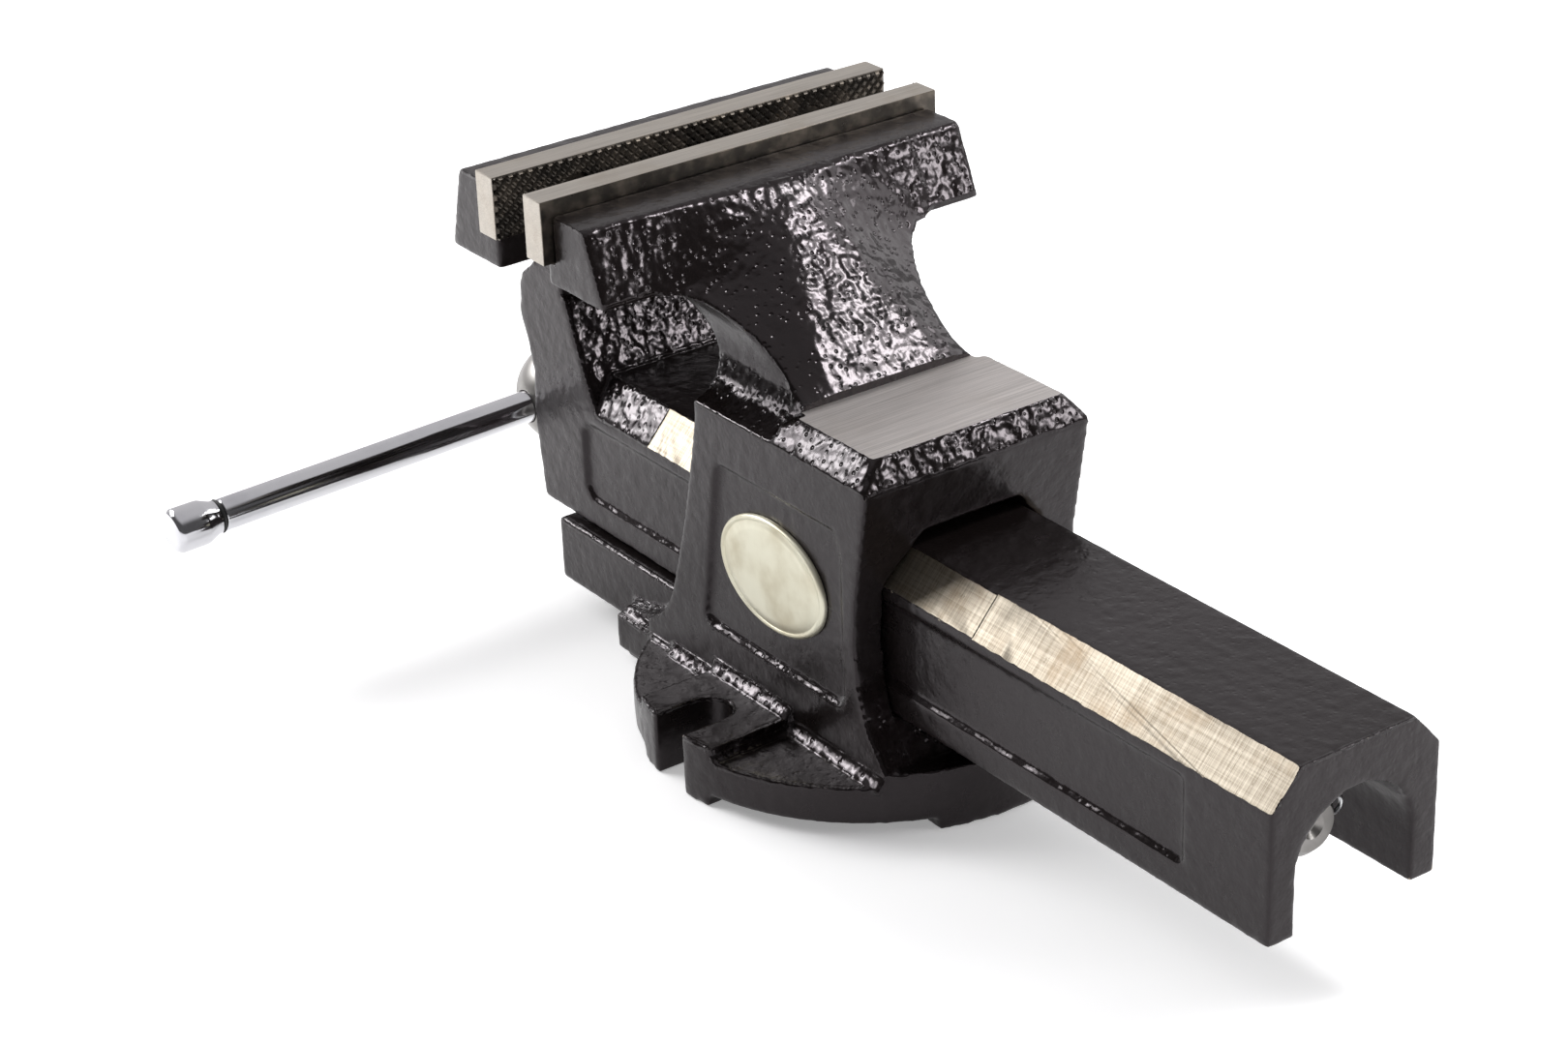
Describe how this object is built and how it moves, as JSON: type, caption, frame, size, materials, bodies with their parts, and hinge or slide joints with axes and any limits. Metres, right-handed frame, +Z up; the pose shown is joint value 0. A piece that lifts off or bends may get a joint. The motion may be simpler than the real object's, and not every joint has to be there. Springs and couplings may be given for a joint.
{
  "type": "bench vise",
  "caption": "Heavy cast bench vise with knurled steel jaw plates, an anvil pad, a slotted round base and a long open-bottom slide bar driven by a lead screw with a sliding handle bar.",
  "frame": {"origin": "on the bench under the centre of the round base, on the rib across the underside", "axes": "+Z up, +Y along the slide bar towards its free end, handle at -Y, +X across the jaws towards the badge side"},
  "size_m": [0.3976, 0.5422, 0.235],
  "materials": {
    "cast_paint": "thick glossy black paint over rough casting",
    "plate_steel": "hardened steel, ground edges and knurled black gripping face",
    "screw_steel": "turned steel",
    "handle_chrome": "polished bright plating",
    "nut_iron": "machined grey iron",
    "zinc_steel": "bright zinc",
    "ring_rubber": "matte",
    "badge_brass": "satin lacquered, no lettering"
  },
  "bodies": {
    "body": {"fixed_jaw_body": "cast_paint", "jaw_plate_fixed": "plate_steel", "jaw_plate_screw_fixed_left": "zinc_steel", "jaw_plate_screw_fixed_right": "zinc_steel", "screw_nut": "nut_iron", "nut_bolt_front": "zinc_steel", "nut_bolt_rear": "zinc_steel", "nut_bolt_washer_front": "zinc_steel", "nut_bolt_washer_rear": "zinc_steel", "badge_plate": "badge_brass"},
    "jaw": {"movable_jaw_slide": "cast_paint", "jaw_plate_movable": "plate_steel", "jaw_plate_screw_movable_left": "zinc_steel", "jaw_plate_screw_movable_right": "zinc_steel"},
    "screw": {"lead_screw": "screw_steel", "thrust_washer": "zinc_steel", "spring_washer": "zinc_steel", "take_up_spring": "zinc_steel", "screw_collar": "nut_iron", "collar_pin": "zinc_steel", "stop_washer": "zinc_steel", "split_pin": "zinc_steel"},
    "handle": {"handle_bar": "handle_chrome", "handle_cap_left": "handle_chrome", "handle_cap_right": "handle_chrome", "handle_ring_left": "ring_rubber", "handle_ring_right": "ring_rubber"}
  },
  "joints": [
    {"name": "jaw_slide", "type": "slide", "parent": "body", "child": "jaw", "axis": [0, -1, 0], "range_m": [-0.0214, 0.178]},
    {"name": "screw_turn", "type": "hinge", "parent": "jaw", "child": "screw", "pos_m": [0, -0.2297, 0.07], "axis": [0, 1, 0], "range_deg": [-1284, 10680]},
    {"name": "handle_slide", "type": "slide", "parent": "screw", "child": "handle", "axis": [0.9995, 0, -0.0314], "range_m": [-0.157, 0.141]}
  ],
  "couplings": [
    {"joint": "jaw_slide", "follows": "screw_turn", "m_per_rad": 0.00095493}
  ]
}
